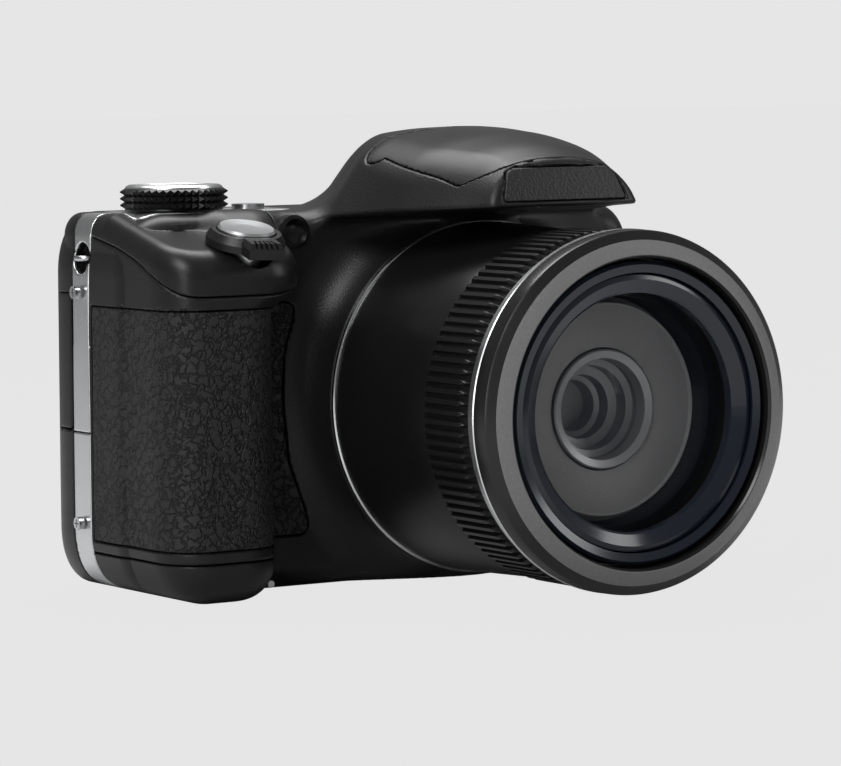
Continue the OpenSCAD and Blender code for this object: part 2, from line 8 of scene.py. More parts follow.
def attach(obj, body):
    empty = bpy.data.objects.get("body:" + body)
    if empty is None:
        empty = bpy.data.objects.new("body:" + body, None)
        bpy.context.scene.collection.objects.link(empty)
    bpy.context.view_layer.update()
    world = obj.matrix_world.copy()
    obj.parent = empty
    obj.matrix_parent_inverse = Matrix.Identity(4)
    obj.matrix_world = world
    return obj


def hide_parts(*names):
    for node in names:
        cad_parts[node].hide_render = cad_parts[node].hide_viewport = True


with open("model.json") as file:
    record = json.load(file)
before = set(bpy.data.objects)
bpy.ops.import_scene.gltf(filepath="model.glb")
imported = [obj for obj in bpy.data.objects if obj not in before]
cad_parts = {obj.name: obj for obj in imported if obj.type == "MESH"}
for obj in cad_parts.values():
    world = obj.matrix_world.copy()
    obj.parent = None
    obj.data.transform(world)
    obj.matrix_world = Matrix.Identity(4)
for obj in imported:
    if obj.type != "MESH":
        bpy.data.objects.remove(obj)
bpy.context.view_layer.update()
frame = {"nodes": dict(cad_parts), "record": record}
mm = 0.001
lensZ, lipY = 36.0, -75.0
print("frame loaded", len(frame["nodes"]), "nodes")

# sizes in millimetres, one dictionary for each form
body = dict(gripEnd=-75, farEnd=45, frontY=-12, backY=25, topZ=73, endR=12, frontR=7, backR=12, farR=4.5,
            edge=5, lean=0.3)
grip = dict(inX=-48, brow=6, frontY=-28, cornerR=10, edge=7, deckY=-22.5, deckZ=67.2, deckTilt=14.5, deckEdge=4.5)
lensRoot = dict(r=34.6, frontY=-20.2, flare=9)
hump = dict(plateY=(-51, -48.2), plateZ=(74.2, 82), shoulder=3.2, fillet=4.5, backY=21, edge=0.9)
lid = dict(hingeY=-17.5, hingeZ=85.4, knuckle=3.5, frontY=-46.6, gap=0.12)
seams = dict(gap=0.15, lip=0.35, backY=11.5)
band = dict(midY=8.25, halfY=3.25, inX=-63, depth=1.2, splitZ=31)
strap = dict(y=8.25, z=64.5, r=3, floorX=-70.6)
rubber = dict(z=(10.5, 55.5), backY=3.9, depth=1.0)
door = dict(topZ=8, inX=-48.4, backY=4.9, drawBack=1.4)
shutter = dict(x=-54.5, wellR=5.8, wellDepth=7.5)
plate = dict(midZ=78.1, halfZ=3.1, halfX=14, backY=-47.5)
port = dict(y=(12, 18.5), z=(31.5, 57.5), inX=-68)
screen = dict(x=(-28, 41), z=(8, 61), floorY=22.6)
bore = dict(r=33.6, backY=11)
thumb = dict(x=(-61, -36), z=(50.5, 68.5), r=6, outY=27.4, inY=23.5)
silverPlate = dict(x=(-68, -33), y=(-6, 11.3), r=4, proud=0.2, depth=0.8, lowZ=66)
ribs = dict(count=108, rows=22, front=9, back=24, root=32.75, height=0.95, bore=30.8)
backdrop = (0.79, 0.79, 0.79, 1)


# bent line over y, averaged over a short stretch so that it has no kinks
def eased(y, knots, values, reach=2.0):
    return sum(np.interp(y + o, knots, values) for o in np.linspace(-reach, reach, 5)) / 5


# smooth step from 0 to 1
def step01(t):
    t = np.clip(t, 0, 1)
    return t * t * (3 - 2 * t)


# largest of two distances, with the crossing edge rounded to a quarter circle of radius r
def both(a, b, r):
    u, v = np.maximum(r + a, 0), np.maximum(r + b, 0)
    return np.minimum(-r, np.maximum(a, b)) + np.sqrt(u * u + v * v)


# smallest of two distances, with the inner corner filled to a quarter circle of radius r
def join(a, b, r):
    u, v = np.maximum(r - a, 0), np.maximum(r - b, 0)
    return np.maximum(r, np.minimum(a, b)) - np.sqrt(u * u + v * v)


# distance to a rectangle in two of the coordinates, corners rounded to r
def panel(u, v, u0, u1, v0, v1, r):
    p = np.abs(u - (u0 + u1) / 2) - (u1 - u0) / 2 + r
    q = np.abs(v - (v0 + v1) / 2) - (v1 - v0) / 2 + r
    return np.sqrt(np.maximum(p, 0) ** 2 + np.maximum(q, 0) ** 2) + np.minimum(np.maximum(p, q), 0) - r


# grip end of the body at height z: a straight lean inwards above the lower part
def endLine(z):
    return body["gripEnd"] + body["lean"] * np.clip((z - 20) / 50, 0, 1)


# height above the sloping deck, and distance along it from the shutter button
def deckAxes(y, z):
    t = math.radians(grip["deckTilt"])
    rise = (z - grip["deckZ"]) * math.cos(t) - (y - grip["deckY"]) * math.sin(t)
    run = (y - grip["deckY"]) * math.cos(t) + (z - grip["deckZ"]) * math.sin(t)
    return rise, run


# main box: rounded front outline, leaning in at the grip end, crossed with a rounded plan outline
def mainForm(x, y, z):
    left = endLine(z)
    outline = panel(x, z, left, body["farEnd"], 0, body["topZ"], body["endR"])
    r = np.where(y < 6, body["frontR"], np.where(x < -15, body["backR"], body["farR"]))
    plan = panel(x, y, left, body["farEnd"], body["frontY"], body["backY"], r)
    return both(outline, plan, body["edge"])


# grip: plan outline with a brow at its top, crossed with the end outline and a deck that slopes to the front
def gripForm(x, y, z):
    left = endLine(z)
    inner = grip["inX"] + grip["brow"] * step01((z - 54) / 6)
    plan = panel(x, y, left, inner, grip["frontY"], 22, grip["cornerR"])
    outline = panel(x, z, left, -10, 0, 90, body["endR"])
    deck = both(deckAxes(y, z)[0], z - body["topZ"], 0.01)
    return both(both(plan, outline, grip["edge"]), deck, grip["deckEdge"])


# hump: boat-shaped flanks, crowned roof, leaning name plate face and flat underside, crossed with rounded edges
def humpForm(x, y, z):
    head = eased(y, [-51, -46, -30, -14, -3, 8, 18], [11.8, 13.0, 20.5, 23.0, 18.5, 12.0, 6.0])
    foot = eased(y, [-51, -40, -30, -14, 0, 12, 22], [16.0, 21.5, 25.5, 30.0, 24.0, 17.0, 10.0])
    crown = eased(y, [-50, -30, -15, 0], [0.012, 0.012, 0.0065, 0.006])
    top = eased(y, [-60, -48.5, -40, -30, -15, -3, 6, 14, 22],
                [79.4, 82.4, 85.6, 87.9, 88.75, 88.3, 86.0, 80.0, 70.0])
    rise = np.clip((z - 74) / 9.5, -0.5, 1.5)
    flank = (np.abs(x) - (foot + (head - foot) * rise)) * 0.78
    (y0, y1), (z0, z1) = hump["plateY"], hump["plateZ"]
    front = y0 + (z - z0) * (y1 - y0) / (z1 - z0) - y + 0.0035 * x * x
    under = eased(y, [-60, -51, -30, -14, 20], [74.4, 73.9, 72.8, 71.5, 60]) - z
    roof = (z - top + crown * x * x) * 0.93
    crest = both(both(flank, roof, hump["shoulder"]), y - hump["backY"], 2)
    return both(both(crest, front, hump["edge"]), under, hump["edge"])


# root of the lens: a short cylinder about the lens axis
def rootForm(x, y, z):
    ring = np.sqrt(x * x + (z - lensZ) ** 2) - lensRoot["r"]
    return both(ring, lensRoot["frontY"] - y, 0.5)


# box and grip: filled with a fillet in the finger valley, plainly joined elsewhere
def boxForm(x, y, z):
    r = 0.01 + 6 * step01((x + 60) / 8) * step01((-5 - y) / 4)
    return join(mainForm(x, y, z), gripForm(x, y, z), r)


# box, grip and lens root
def coreForm(x, y, z):
    return join(boxForm(x, y, z), np.maximum(rootForm(x, y, z), y - 6), lensRoot["flare"])


# the whole moulded housing, hump included
def housing(x, y, z):
    return np.maximum(join(coreForm(x, y, z), humpForm(x, y, z), hump["fillet"]), -z)


# height of the seam under the shutter deck, as a bent line over y
def deckSeam(y):
    return eased(y, [-40, -27.5, -25, -21, -14, -6, 5], [57.9, 58, 59.0, 61.2, 64.4, 66.8, 68.8])


# distance above the side seam of the flash lid: a bent line over y with a round knuckle at its back
def lidSeam(x, y, z):
    line = eased(y, [-60, -46.8, -45.6, -41, -36, -25, -17, 0],
                 [83, 81.9, 80.6, 77.8, 79.4, 81.7, 83.6, 86], 0.6)
    knuckle = np.sqrt((y - lid["hingeY"]) ** 2 + (z - lid["hingeZ"]) ** 2) - lid["knuckle"]
    cap = np.maximum(np.maximum(line - z, y - lid["hingeY"]), lid["frontY"] - y)
    return np.minimum(cap, knuckle)


# closed skin of a field: one point in each cell that the surface crosses, pulled onto the surface along its slope
def skin(field, low, high, step):
    axes = [np.arange(a, b + step, step) for a, b in zip(low, high)]
    grid = np.meshgrid(*axes, indexing="ij", sparse=True)
    value = field(*grid).astype(np.float32)
    inside = value < 0
    cellShape = np.array(value.shape) - 1
    corners = sum(inside[i:i + cellShape[0], j:j + cellShape[1], k:k + cellShape[2]].astype(np.int8)
                  for i in (0, 1) for j in (0, 1) for k in (0, 1))
    active = (corners > 0) & (corners < 8)
    cells = np.argwhere(active)
    index = np.full(active.shape, -1, np.int64)
    index[active] = np.arange(len(cells))
    total, hits = np.zeros((len(cells), 3)), np.zeros(len(cells))
    quads = []
    for a in range(3):
        b, c = (a + 1) % 3, (a + 2) % 3
        unit = np.eye(3, dtype=int)
        for ob in (0, 1):
            for oc in (0, 1):
                start = cells + ob * unit[b] + oc * unit[c]
                v0 = value[tuple(start.T)]
                v1 = value[tuple((start + unit[a]).T)]
                crossed = (v0 < 0) != (v1 < 0)
                t = np.where(crossed, v0 / np.where(crossed, v0 - v1, 1), 0)
                spot = (ob * unit[b] + oc * unit[c])[None, :] + t[:, None] * unit[a][None, :]
                total += np.where(crossed[:, None], spot, 0)
                hits += crossed
        first = np.take(inside, np.arange(inside.shape[a] - 1), a)
        second = np.take(inside, np.arange(1, inside.shape[a]), a)
        edge = np.argwhere(first != second)
        keep = (edge[:, b] > 0) & (edge[:, c] > 0) & (edge[:, b] < cellShape[b]) & (edge[:, c] < cellShape[c])
        edge = edge[keep]
        ring = [index[tuple((edge - ob * unit[b] - oc * unit[c]).T)] for ob, oc in ((0, 0), (1, 0), (1, 1), (0, 1))]
        ring = np.stack(ring, 1)
        outward = first[tuple(edge.T)]
        quads.append(np.where(outward[:, None], ring, ring[:, ::-1]))
    points = np.array(low) + step * (cells + total / hits[:, None])
    h = step * 0.15
    for _ in range(3):
        x, y, z = points.T
        f = field(x, y, z)
        slope = np.stack([field(x + h, y, z) - field(x - h, y, z), field(x, y + h, z) - field(x, y - h, z),
                          field(x, y, z + h) - field(x, y, z - h)], 1) / (2 * h)
        size = np.maximum((slope ** 2).sum(1), 0.05)
        points = points - (np.clip(f, -0.5 * step, 0.5 * step) / size)[:, None] * slope
    return points, np.concatenate(quads), slope / np.sqrt((slope ** 2).sum(1, keepdims=True) + 1e-12)


# points in millimetres and four-sided faces become a mesh object at the origin
def putMesh(name, points, quads, normals=None, sharp=None):
    mesh = bpy.data.meshes.new(name)
    mesh.vertices.add(len(points))
    mesh.vertices.foreach_set("co", (np.asarray(points) * mm).astype(np.float32).ravel())
    mesh.loops.add(quads.size)
    mesh.loops.foreach_set("vertex_index", quads.astype(np.int32).ravel())
    mesh.polygons.add(len(quads))
    mesh.polygons.foreach_set("loop_start", np.arange(0, quads.size, quads.shape[1], dtype=np.int32))
    mesh.polygons.foreach_set("use_smooth", np.ones(len(quads), bool))
    mesh.update(calc_edges=True)
    mesh.validate()
    if normals is not None:
        mesh.normals_split_custom_set_from_vertices(normals.tolist())
    if sharp:
        mesh.set_sharp_from_angle(angle=math.radians(sharp))
    piece = bpy.data.objects.new(name, mesh)
    bpy.context.collection.objects.link(piece)
    return piece


def dress(piece, rides, stands, finish):
    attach(piece, rides)
    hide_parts(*stands)
    piece.data.materials.append(finish)
    print("piece", piece.name, len(piece.data.polygons), "faces")


# operators on shader values: each expression adds the nodes it needs
class Value:
    def __init__(self, tree, socket):
        self.tree, self.socket = tree, socket

    def math(self, operation, a, b):
        return self.tree.add("ShaderNodeMath", dict(operation=operation), [a, b])

    def __add__(self, other): return self.math("ADD", self, other)
    def __radd__(self, other): return self.math("ADD", other, self)
    def __sub__(self, other): return self.math("SUBTRACT", self, other)
    def __rsub__(self, other): return self.math("SUBTRACT", other, self)
    def __mul__(self, other): return self.math("MULTIPLY", self, other)
    def __rmul__(self, other): return self.math("MULTIPLY", other, self)
    def __truediv__(self, other): return self.math("DIVIDE", self, other)
    def __pow__(self, other): return self.math("POWER", self, other)
    def __gt__(self, other): return self.math("GREATER_THAN", self, other)
    def __lt__(self, other): return self.math("LESS_THAN", self, other)

    def out(self, name):
        return Value(self.tree, self.socket.node.outputs[name])


class Finish:
    def __init__(self, name, **constants):
        self.material = bpy.data.materials.new(name)
        self.material.use_nodes = True
        self.nodes, self.links = self.material.node_tree.nodes, self.material.node_tree.links
        self.shader = self.nodes["Principled BSDF"]
        for key, value in constants.items():
            self.shader.inputs[key.replace("_", " ")].default_value = value
        self.place = self.add("ShaderNodeTexCoord", {}, []).out("Object")

    # one node: its type, its settings, then its inputs by order or by name
    def add(self, kind, settings, inputs):
        node = self.nodes.new(kind)
        for key, value in settings.items():
            if key == "stops":
                ramp = node.color_ramp.elements
                while len(ramp) < len(value):
                    ramp.new(0.5)
                for element, (position, colour) in zip(ramp, value):
                    element.position, element.color = position, colour
            else:
                setattr(node, key, value)
        pairs = inputs.items() if isinstance(inputs, dict) else enumerate(inputs)
        for key, value in pairs:
            if isinstance(value, Value):
                self.links.new(value.socket, node.inputs[key])
            else:
                node.inputs[key].default_value = value
        outs = [o for o in node.outputs if o.enabled]
        return Value(self, outs[0])

    def feed(self, name, value):
        self.links.new(value.socket, self.shader.inputs[name])

    def noise(self, scale, detail=2.0, rough=0.5):
        inputs = {"Vector": self.place, "Scale": scale, "Detail": detail, "Roughness": rough}
        return self.add("ShaderNodeTexNoise", {}, inputs).out("Fac")

    def cells(self, scale, feature="F1", place=None):
        inputs = {"Vector": place or self.place, "Scale": scale}
        return self.add("ShaderNodeTexVoronoi", dict(feature=feature), inputs).out("Distance")

    def tint(self, fac, dark, light):
        stops = [(0, (*dark, 1)), (1, (*light, 1))]
        return self.add("ShaderNodeValToRGB", dict(stops=stops), {"Fac": fac}).out("Color")

    def spread(self, value, low, high):
        return self.add("ShaderNodeMapRange", {}, {"Value": value, "From Min": low, "From Max": high})

    def bump(self, height, distance):
        inputs = {"Height": height, "Distance": distance * mm, "Strength": 1.0}
        self.feed("Normal", self.add("ShaderNodeBump", {}, inputs))


# moulded black plastic: fine spark grain in bump and roughness
def grainPlastic(name, shade, rough, grainMm, depthMm, spread=0.08, gloss=0.3):
    f = Finish(name, IOR=1.5, Specular_IOR_Level=gloss)
    shades = shade if isinstance(shade, tuple) else (shade,) * 3
    grain = f.cells(1 / (grainMm * mm), "SMOOTH_F1")
    cloud = f.noise(60.0, 3.0)
    f.feed("Base Color", f.tint(cloud, [c * 0.85 for c in shades], [c * 1.15 for c in shades]))
    f.feed("Roughness", rough - spread / 2 + spread * cloud)
    f.bump(grain, depthMm)
    return f.material


# satin paint or bare metal: even tone with faint clouding
def metal(name, shade, rough, metallic=1.0):
    f = Finish(name, Metallic=metallic)
    cloud = f.noise(90.0, 3.0)
    f.feed("Base Color", f.tint(cloud, [c * 0.94 for c in shade], [min(1, c * 1.05) for c in shade]))
    f.feed("Roughness", rough * 0.9 + rough * 0.2 * cloud)
    return f.material


# grip rubber: short wrinkles along the edges of warped cells, broken up by a cloud; the recessed wrinkle lines are
# darkened in the colour as painted shade
def wrinkleRubber(name):
    f = Finish(name, IOR=1.45, Specular_IOR_Level=0.35)
    warp = f.add("ShaderNodeTexNoise", {}, {"Vector": f.place, "Scale": 700.0, "Detail": 2.0}).out("Color")
    place = f.add("ShaderNodeVectorMath", dict(operation="MULTIPLY_ADD"), [warp, (0.0028,) * 3, f.place])
    crease = f.spread(f.cells(1 / (1.9 * mm), "DISTANCE_TO_EDGE", place), 0.02, 0.16)
    gaps = f.spread(f.noise(600.0, 1.0), 0.56, 0.68)
    height = f.add("ShaderNodeMath", dict(operation="MAXIMUM"), [crease, gaps])
    cloud = f.noise(70.0, 3.0)
    # colour follows the wrinkle height: the recessed crease lines take the dark stop as painted shade, and a random
    # cloud varies the tone
    f.feed("Base Color", f.tint(height * (0.7 + 0.3 * cloud), [0.004] * 3, [0.022] * 3))
    f.feed("Roughness", 0.46 + 0.16 * cloud)
    f.bump(height + 0.15 * f.noise(2500.0, 1.0), 0.3)
    return f.material


# lens bezel: gloss black outside, grainy grey on the inner cone, told apart by the radius about the lens axis
def bezelPaint(name):
    f = Finish(name, IOR=1.5, Specular_IOR_Level=0.4)
    axes = f.add("ShaderNodeSeparateXYZ", {}, [f.place])
    across, height = axes.out("X"), axes.out("Z") - lensZ * mm
    radius = (across * across + height * height) ** 0.5
    cone = (radius < 32.15 * mm) * (radius > 29.35 * mm)
    grain = f.cells(1 / (0.3 * mm), "SMOOTH_F1")
    f.feed("Base Color", f.tint(cone * (0.75 + 0.25 * f.noise(1500.0, 2.0)), [0.009] * 3, [0.17] * 3))
    f.feed("Roughness", 0.26 + 0.2 * cone)
    f.bump(grain * cone, 0.08)
    return f.material


finishes = {}
finishes["cover"] = grainPlastic("coverPlastic", 0.0085, 0.40, 0.34, 0.035)
finishes["deck"] = grainPlastic("deckPlastic", 0.0095, 0.36, 0.3, 0.012)
finishes["rubber"] = wrinkleRubber("gripRubber")
finishes["plate"] = grainPlastic("plateGrain", 0.02, 0.45, 0.5, 0.12)
finishes["barrel"] = grainPlastic("barrelSatin", 0.006, 0.30, 0.2, 0.004)
finishes["ribs"] = grainPlastic("ribSatin", 0.007, 0.34, 0.2, 0.006, gloss=0.4)
finishes["bezel"] = bezelPaint("bezelPaint")
finishes["lens_ring"] = grainPlastic("lensRingGloss", (0.007, 0.011, 0.018), 0.16, 0.3, 0.002, gloss=0.5)
finishes["baffle"] = grainPlastic("baffleGrain", 0.2, 0.5, 0.3, 0.05)
finishes["silver"] = metal("silverPaint", (0.66, 0.67, 0.68), 0.28)
finishes["steel"] = metal("machinedSteel", (0.55, 0.56, 0.57), 0.25)
finishes["chrome"] = metal("chromeRing", (0.82, 0.83, 0.84), 0.14)
finishes["lens_trim"] = metal("lensTrim", (0.26, 0.265, 0.27), 0.35, 0.5)
finishes["motor"] = metal("motorCan", (0.5, 0.51, 0.52), 0.35)
plainFinishes = (("board", (0.01, 0.05, 0.03), 0.5), ("battery", 0.04, 0.5), ("card", (0.02, 0.04, 0.09), 0.5),
                 ("lamp", 0.06, 0.1), ("key", 0.012, 0.38), ("record", (0.16, 0.012, 0.012), 0.35),
                 ("capacitor", (0.02, 0.03, 0.08), 0.3), ("lcd", 0.01, 0.35), ("screen", 0.004, 0.06),
                 ("flash", 0.7, 0.25))
for key, shade, rough in plainFinishes:
    finishes[key] = grainPlastic(key + "Finish", shade, rough, 0.3, 0.004, gloss=0.5)


# coated glass: mostly clear, with a faint violet sheen that grows at grazing angles
def coatedGlass(name):
    f = Finish(name, IOR=1.45, Roughness=0.02)
    sheen = f.add("ShaderNodeLayerWeight", {}, {"Blend": 0.35}).out("Facing")
    cloud = f.noise(40.0, 2.0)
    f.feed("Base Color", f.tint(cloud, (0.01, 0.012, 0.03), (0.012, 0.02, 0.03)))
    f.feed("Alpha", 0.03 + 0.35 * sheen)
    return f.material


finishes["glass"] = coatedGlass("lensGlass")
print("finishes", len(finishes))

slotOf = {s["node"]: s["material_slot"] for s in frame["record"]["subparts"]}
for name, node in frame["nodes"].items():
    node.data.materials.clear()
    node.data.materials.append(finishes[slotOf[name]])


def build(name, field, low, high, step, rides, slot, stands):
    points, quads, normals = skin(field, low, high, step * (1))
    piece = putMesh(name, points, quads, normals)
    dress(piece, rides, stands, finishes[slot])
    return piece


# closed ring grid: rows of points around an axis, first and last row joined
def wrapQuads(rows, columns):
    i, j = np.meshgrid(np.arange(rows), np.arange(columns), indexing="ij")
    k, l = (i + 1) % rows, (j + 1) % columns
    return np.stack([i * columns + j, i * columns + l, k * columns + l, k * columns + j], -1).reshape(-1, 4)


# turned about the lens axis: radius and depth behind the lip, as closed loops of two parameters
def turned(name, radius, depth, rides, slot, stands, sharp=25):
    radius, depth = np.asarray(radius, float), np.asarray(depth, float)
    rows = radius.shape[0]
    if radius.ndim == 1:
        columns = 256
        radius, depth = np.repeat(radius[:, None], columns, 1), np.repeat(depth[:, None], columns, 1)
    columns = radius.shape[1]
    angle = np.linspace(0, 2 * np.pi, columns, endpoint=False)[None, :]
    points = np.stack([radius * np.cos(angle), lipY + depth, lensZ + radius * np.sin(angle)], -1).reshape(-1, 3)
    quads = wrapQuads(rows, columns)
    area = (radius[:, 0] * np.roll(depth[:, 0], -1) - np.roll(radius[:, 0], -1) * depth[:, 0]).sum()
    piece = putMesh(name, points, quads if area > 0 else quads[:, ::-1], None, sharp)
    dress(piece, rides, stands, finishes[slot])
    return piece


# silver band: a strip of the grip end between two depths
def bandZone(x, y, z):
    return np.maximum(np.maximum(np.abs(y - band["midY"]) - band["halfY"], x - band["inX"]), -z - 5)


# strap pocket: a round hole into the grip end
def strapPocket(x, y, z):
    return np.maximum(np.sqrt((y - strap["y"]) ** 2 + (z - strap["z"]) ** 2) - strap["r"], x - strap["floorX"])


# deck: everything above its seam, on the grip and in front of the band
def deckZone(x, y, z):
    return np.maximum(np.maximum(deckSeam(y) - z, x + 42), y - 5)


# rubber: between two heights, to a bent line in the finger valley
def rubberZone(x, y, z):
    z0, z1 = rubber["z"]
    side = x - eased(z, [8, 13, 25, 37, 47, 52, 58], [-35, -35, -39.6, -40.8, -40, -38, -37])
    return np.maximum(both(np.abs(z - (z0 + z1) / 2) - (z1 - z0) / 2, side, 2), y - rubber["backY"])


# battery door: the foot of the grip
def doorZone(x, y, z):
    return np.maximum(np.maximum(z - door["topZ"], x - door["inX"]), y - door["backY"])


# the door itself: its hinge edge is drawn back below the pin, so that it clears the cover as it swings
def doorPiece(x, y, z):
    return np.maximum(doorZone(x, y, z), x - door["inX"] + door["drawBack"] * step01((5 - z) / 1.2))


# round well under the shutter button, square to the deck
def shutterWell(x, y, z):
    rise, run = deckAxes(y, z)
    return np.maximum(np.sqrt((x - shutter["x"]) ** 2 + run ** 2) - shutter["wellR"], -shutter["wellDepth"] - rise)


# name plate: a tapered panel on the front of the hump
def plateZone(x, y, z):
    taper = np.abs(x) - plate["halfX"] + (z - 75) * 0.35
    return np.maximum(both(np.abs(z - plate["midZ"]) - plate["halfZ"], taper, 0.8), y - plate["backY"])


# port cover: a rounded panel on the grip end
def portZone(x, y, z):
    return np.maximum(panel(y, z, *port["y"], *port["z"], 1), x - port["inX"])


# recess of the screen in the back
def screenZone(x, y, z):
    return np.maximum(panel(x, z, *screen["x"], *screen["z"], 1), screen["floorY"] - y)


# bore that the lens stands in
def lensBore(x, y, z):
    return np.maximum(np.sqrt(x * x + (z - lensZ) ** 2) - bore["r"], y - bore["backY"])


# front cover: the housing before the back seam, less every zone and hole
def frontField(x, y, z):
    g, lip = seams["gap"], seams["lip"]
    shell, core = housing(x, y, z), coreForm(x, y, z)
    f = both(shell, y - seams["backY"] + g, lip)
    f = both(f, -(deckZone(x, y, z) - g), lip)
    f = both(f, -(lidSeam(x, y, z) - lid["gap"]), 0.2)
    f = both(f, -np.maximum(rubberZone(x, y, z) - g, -core - rubber["depth"]), 0.2)
    f = both(f, -np.maximum(bandZone(x, y, z) - g, -shell - band["depth"]), 0.2)
    f = both(f, -np.maximum(plateZone(x, y, z) - g, -shell - 1), 0.2)
    f = both(f, -(doorZone(x, y, z) - 0.2), lip)
    f = both(f, -strapPocket(x, y, z), 0.3)
    f = both(f, -shutterWell(x, y, z), 0.2)
    return both(f, -lensBore(x, y, z), 0.3)


# rear cover: the housing behind the back seam, less the port and the screen
def rearField(x, y, z):
    f = both(housing(x, y, z), seams["backY"] + seams["gap"] - y, seams["lip"])
    f = both(f, -np.maximum(portZone(x, y, z) - 0.2, -boxForm(x, y, z) - 1.2), 0.2)
    return both(f, -screenZone(x, y, z), 0.2)


# shutter deck: box and grip inside the deck zone, less the shutter's well
def deckField(x, y, z):
    f = both(boxForm(x, y, z), deckZone(x, y, z) + 0.05, seams["lip"])
    return both(f, -shutterWell(x, y, z), 0.2)


# grip rubber: a skin of even depth inside its zone
def rubberField(x, y, z):
    core = coreForm(x, y, z)
    return both(both(core, rubberZone(x, y, z) + 0.05, 0.4), -core - rubber["depth"], 0.1)


# flash lid: the hump above the lid's seam
def lidField(x, y, z):
    return both(humpForm(x, y, z), lidSeam(x, y, z), 0.25)


# name plate: a millimetre of the hump inside its zone
def plateField(x, y, z):
    crest = humpForm(x, y, z)
    return np.maximum(both(crest, plateZone(x, y, z), 0.3), -crest - 1)


# battery door: box and grip inside the door's outline
def doorField(x, y, z):
    return both(np.maximum(boxForm(x, y, z), -z), doorPiece(x, y, z) + 0.05, seams["lip"])


# port cover: a skin a little proud of the grip end
def portField(x, y, z):
    core = boxForm(x, y, z)
    return both(both(core - 0.3, portZone(x, y, z), 0.4), -core - 1, 0.1)


# thumb rest: a rounded pad on the back
def thumbField(x, y, z):
    pad = panel(x, z, *thumb["x"], *thumb["z"], thumb["r"])
    return both(both(pad, y - thumb["outY"], 2.5), thumb["inY"] - y, 0.1)


# half of the silver band: above the split for sign 1, below it for sign -1
def bandField(sign):
    def field(x, y, z):
        shell = housing(x, y, z)
        f = both(both(shell, bandZone(x, y, z), 0.2), sign * (band["splitZ"] - z) + 0.1, 0.2)
        return both(np.maximum(f, -shell - band["depth"]), -strapPocket(x, y, z), 0.3)
    return field


# silver plate that follows the top of the body, a little proud of it
def topPlateField(x, y, z):
    core = boxForm(x, y, z)
    outline = panel(x, y, *silverPlate["x"], *silverPlate["y"], silverPlate["r"])
    face = both(core - silverPlate["proud"], outline, 0.15)
    return np.maximum(face, np.maximum(-core - silverPlate["depth"], silverPlate["lowZ"] - z))


build("frontCover", frontField, (-77, -54, -1), (47, 13, 91), 0.56, "body", "cover", ["front_cover"])
build("rearCover", rearField, (-77, 10, -1), (47, 27, 91), 0.56, "body", "cover", ["rear_cover"])
build("topCover", deckField, (-77, -30, 56), (-40, 7, 75), 0.36, "body", "deck", ["top_cover"])
build("gripRubber", rubberField, (-77, -30, 9), (-33, 6, 57), 0.4, "body", "rubber", ["grip_rubber"])
build("flashLid", lidField, (-30, -53, 74), (30, -12, 91), 0.36, "flash", "deck", ["flash_lid"])
build("namePlate", plateField, (-18, -53, 73), (18, -45, 84), 0.3, "body", "plate", ["name_plate"])
build("batteryDoor", doorField, (-77, -30, -1), (-46, 6, 9), 0.42, "battery_door", "cover", ["battery_door"])
build("portCover", portField, (-77, 11, 30), (-66, 20, 59), 0.3, "port_cover", "cover", ["port_cover"])
build("thumbRest", thumbField, (-63, 22, 49), (-34, 30, 70), 0.4, "body", slotOf["thumb_rest"], ["thumb_rest"])
build("topPlate", topPlateField, (-70, -8, 64), (-31, 13, 75), 0.36, "body", "silver", ["top_plate"])
build("sideBandUpper", bandField(1), (-77, 4, 30), (-60, 13, 75), 0.33, "body", "silver", ["side_band_upper"])
build("sideBandLower", bandField(-1), (-77, 4, -1), (-60, 13, 32), 0.33, "body", "silver", ["side_band_lower"])
print("covers done")

# ribs: a trapezoid wave around the ring, each rib drawn to a point at its front
along = np.linspace(ribs["front"], ribs["back"], ribs["rows"])[:, None]
phase = np.abs(((np.arange(ribs["count"] * 10)[None, :] / 10) % 1) - 0.5) * 2
point = 0.62 * np.clip((along - ribs["front"] - 0.3) / 2.2, 0, 1)
ridge = np.clip((point - phase) / 0.16, 0, 1) * np.clip((ribs["back"] - along) / 0.5, 0, 1)
wave = ribs["root"] + ribs["height"] * ridge
flat = np.full((1, wave.shape[1]), ribs["bore"])
depth = np.concatenate([flat * 0 + ribs["front"], along + 0 * wave, flat * 0 + ribs["back"]])
turned("ribRing", np.concatenate([flat, wave, flat]), depth, "body", "ribs", ["rib_ring"], 40)

# other turned pieces: radii from bore to rim, then the depth of each behind the lip
turned("frontBezel", [28.8, 28.9, 29.2, 29.5, 32.05, 32.2, 33.5, 33.85, 34, 34, 28.8],
       [5.8, 0.5, 0.05, 0, 1.05, 1.2, 2.0, 2.35, 2.9, 5.8, 5.8], "body", "bezel", ["front_bezel"])
turned("silverRing", [30.8, 33.9, 34.1, 34.1, 33.9, 33.2, 33.2, 30.8],
       [5.9, 5.9, 6.1, 6.5, 6.7, 6.8, 8.9, 8.9], "body", "silver", ["silver_ring"])
turned("lensSkirt", [30.8, 32.9, 33.2, 33.55, 33.9, 34.1, 34.2, 30.8],
       [24.05, 24.05, 26, 34, 43, 50, 53.8, 53.8], "body", "barrel", ["lens_skirt"], 40)
turned("skirtRing", [30.8, 34.2, 34.55, 34.65, 34.55, 34.2, 30.8],
       [53.9, 53.9, 54.05, 54.35, 54.65, 54.85, 54.9], "body", "chrome", ["skirt_ring"], 40)
turned("innerBarrel", [11.5, 11.6, 19.6, 20.0, 20.2, 20.2, 21.2, 21.2, 19, 19, 11.5],
       [16, 13.7, 13.2, 12.6, 12.8, 14.4, 15.2, 40, 40, 16, 16], "inner_group", "baffle", ["inner_barrel"])
